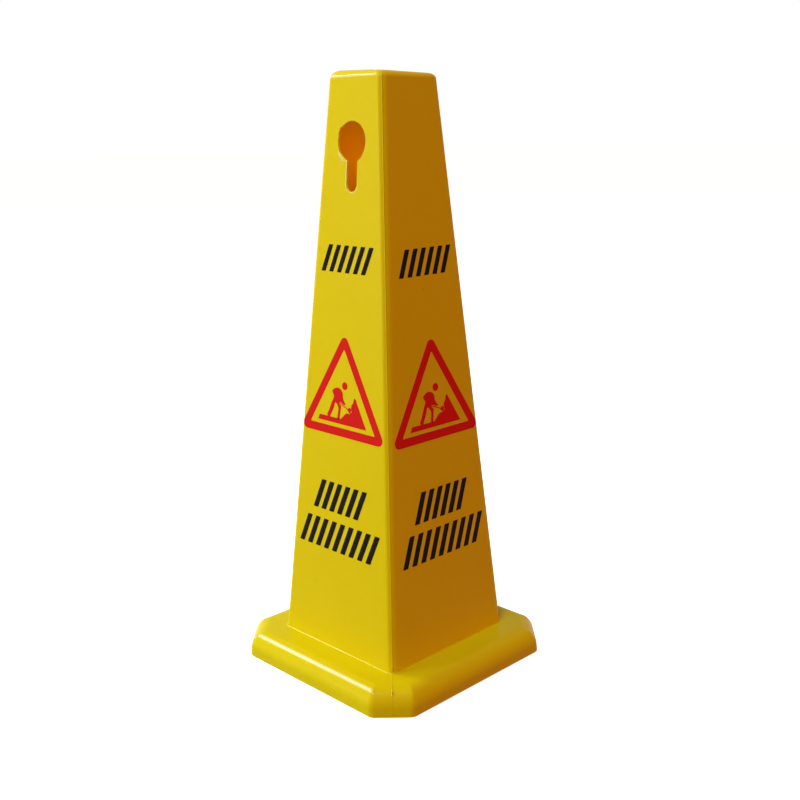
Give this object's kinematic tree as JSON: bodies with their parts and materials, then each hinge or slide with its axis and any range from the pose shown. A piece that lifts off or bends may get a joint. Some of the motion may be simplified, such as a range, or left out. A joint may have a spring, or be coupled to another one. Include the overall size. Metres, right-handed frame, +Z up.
{
  "type": "cone sign",
  "caption": "Tall hollow tapered warning cone with flat faces, keyholes near its top and a ballasted chamfered base. It stands on a floor to mark a hazard, and stacks.",
  "frame": {"origin": "centre of the base, on the floor that the foot pads stand on", "axes": "+Z up the centre line; the keyhole faces look along -Y and +Y; the mould's parting line runs down the +X -Y and -X +Y corners"},
  "size_m": [0.28, 0.28, 0.68],
  "materials": {
    "shell_plastic": "semi-gloss moulded yellow, printed on its faces",
    "skirt_plastic": "semi-gloss moulded yellow",
    "ballast_plastic": "matt recycled dark grey",
    "screw_steel": "zinc-plated",
    "pad_rubber": "matt black"
  },
  "bodies": {
    "root": {"cone_shell": "shell_plastic", "base_skirt": "skirt_plastic", "ballast_ring": "ballast_plastic", "ring_screws": "screw_steel", "foot_pads": "pad_rubber"}
  },
  "joints": []
}
